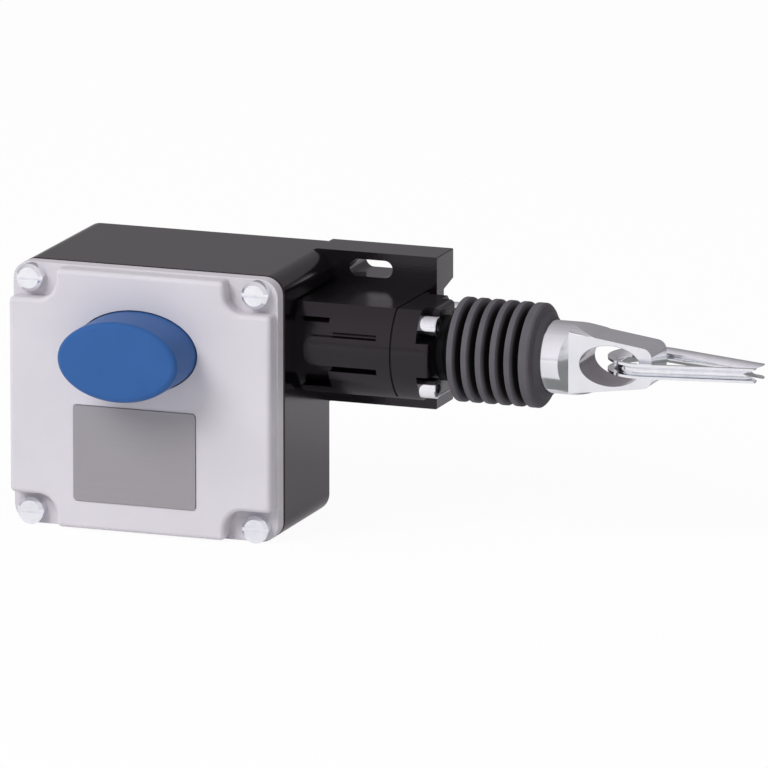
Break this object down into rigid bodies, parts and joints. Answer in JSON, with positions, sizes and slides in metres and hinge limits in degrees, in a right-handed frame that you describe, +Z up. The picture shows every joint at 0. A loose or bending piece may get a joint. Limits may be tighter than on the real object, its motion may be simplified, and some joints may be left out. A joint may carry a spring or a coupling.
{
  "type": "rope pull switch",
  "caption": "Wall-mounted rope pull switch: square box with an oval blue reset button, round neck, rubber bellows, pull rod with an eye and a rope thimble.",
  "frame": {"origin": "centre of the lower fixing hole, on the mounting plane", "axes": "+X is the way the rope pulls, +Y points into the wall that the switch is screwed to, +Z is up"},
  "size_m": [0.2279, 0.0815, 0.081],
  "materials": {
    "cover_paint": "satin light grey paint",
    "base_paint": "fine-textured black paint",
    "button_plastic": "satin blue",
    "label_foil": "matt grey",
    "black_plastic": "moulded",
    "inner_plastic": "moulded",
    "bellows_rubber": "matt",
    "seal_rubber": "matt",
    "steel": "turned and milled",
    "zinc_steel": "zinc plated",
    "spring_steel": "drawn wire",
    "bronze": "sintered"
  },
  "bodies": {
    "housing": {"base_housing": "base_paint", "cover": "cover_paint", "cover_gasket": "seal_rubber", "cover_screws": "zinc_steel", "label_plate": "label_foil", "neck_seal": "seal_rubber", "neck_cap": "base_paint", "cap_screws": "zinc_steel", "front_bush": "bronze", "rear_bush": "bronze", "main_spring": "spring_steel", "bellows": "bellows_rubber", "button_seal": "seal_rubber", "button_spring": "spring_steel", "contact_block": "inner_plastic", "contact_block_screws": "zinc_steel", "terminal_screws": "zinc_steel", "plunger_spring": "spring_steel", "latch_bracket": "zinc_steel", "latch_pin": "steel", "earth_screw": "zinc_steel"},
    "rod": {"pull_rod": "steel", "spring_washer": "zinc_steel", "rod_snap_ring": "spring_steel", "cam_sleeve": "steel", "cam_pin": "zinc_steel", "rope_eye": "steel"},
    "button": {"reset_button": "button_plastic", "button_stem": "inner_plastic", "button_ring": "spring_steel"},
    "plunger": {"contact_plunger": "inner_plastic"},
    "latch": {"latch_lever": "zinc_steel"},
    "thimble": {"rope_thimble": "zinc_steel"}
  },
  "joints": [
    {"name": "rope_pull", "type": "slide", "parent": "housing", "child": "rod", "axis": [1, 0, 0], "range_m": [0, 0.012], "stiffness_N_per_m": 4000, "springref_m": -0.015, "deforming": ["main_spring", "bellows"]},
    {"name": "reset_press", "type": "slide", "parent": "housing", "child": "button", "axis": [0, 1, 0], "range_m": [0, 0.004], "stiffness_N_per_m": 800, "springref_m": -0.004, "deforming": ["button_spring"]},
    {"name": "contact_push", "type": "slide", "parent": "housing", "child": "plunger", "axis": [0, 0, -1], "range_m": [0, 0.0026], "deforming": ["plunger_spring"]},
    {"name": "latch_rock", "type": "hinge", "parent": "housing", "child": "latch", "pos_m": [-0.0671, -0.0485, 0.0175], "axis": [0, 0, 1], "range_deg": [0, 23]},
    {"name": "thimble_swing", "type": "hinge", "parent": "rod", "child": "thimble", "pos_m": [0.08635, -0.031, 0.0185], "axis": [0, 1, 0], "range_deg": [-80, 80]}
  ],
  "couplings": [
    {"joint": "contact_push", "follows": "rope_pull", "ratio": 0.2},
    {"joint": "latch_rock", "follows": "reset_press", "rad_per_m": 93.294}
  ]
}
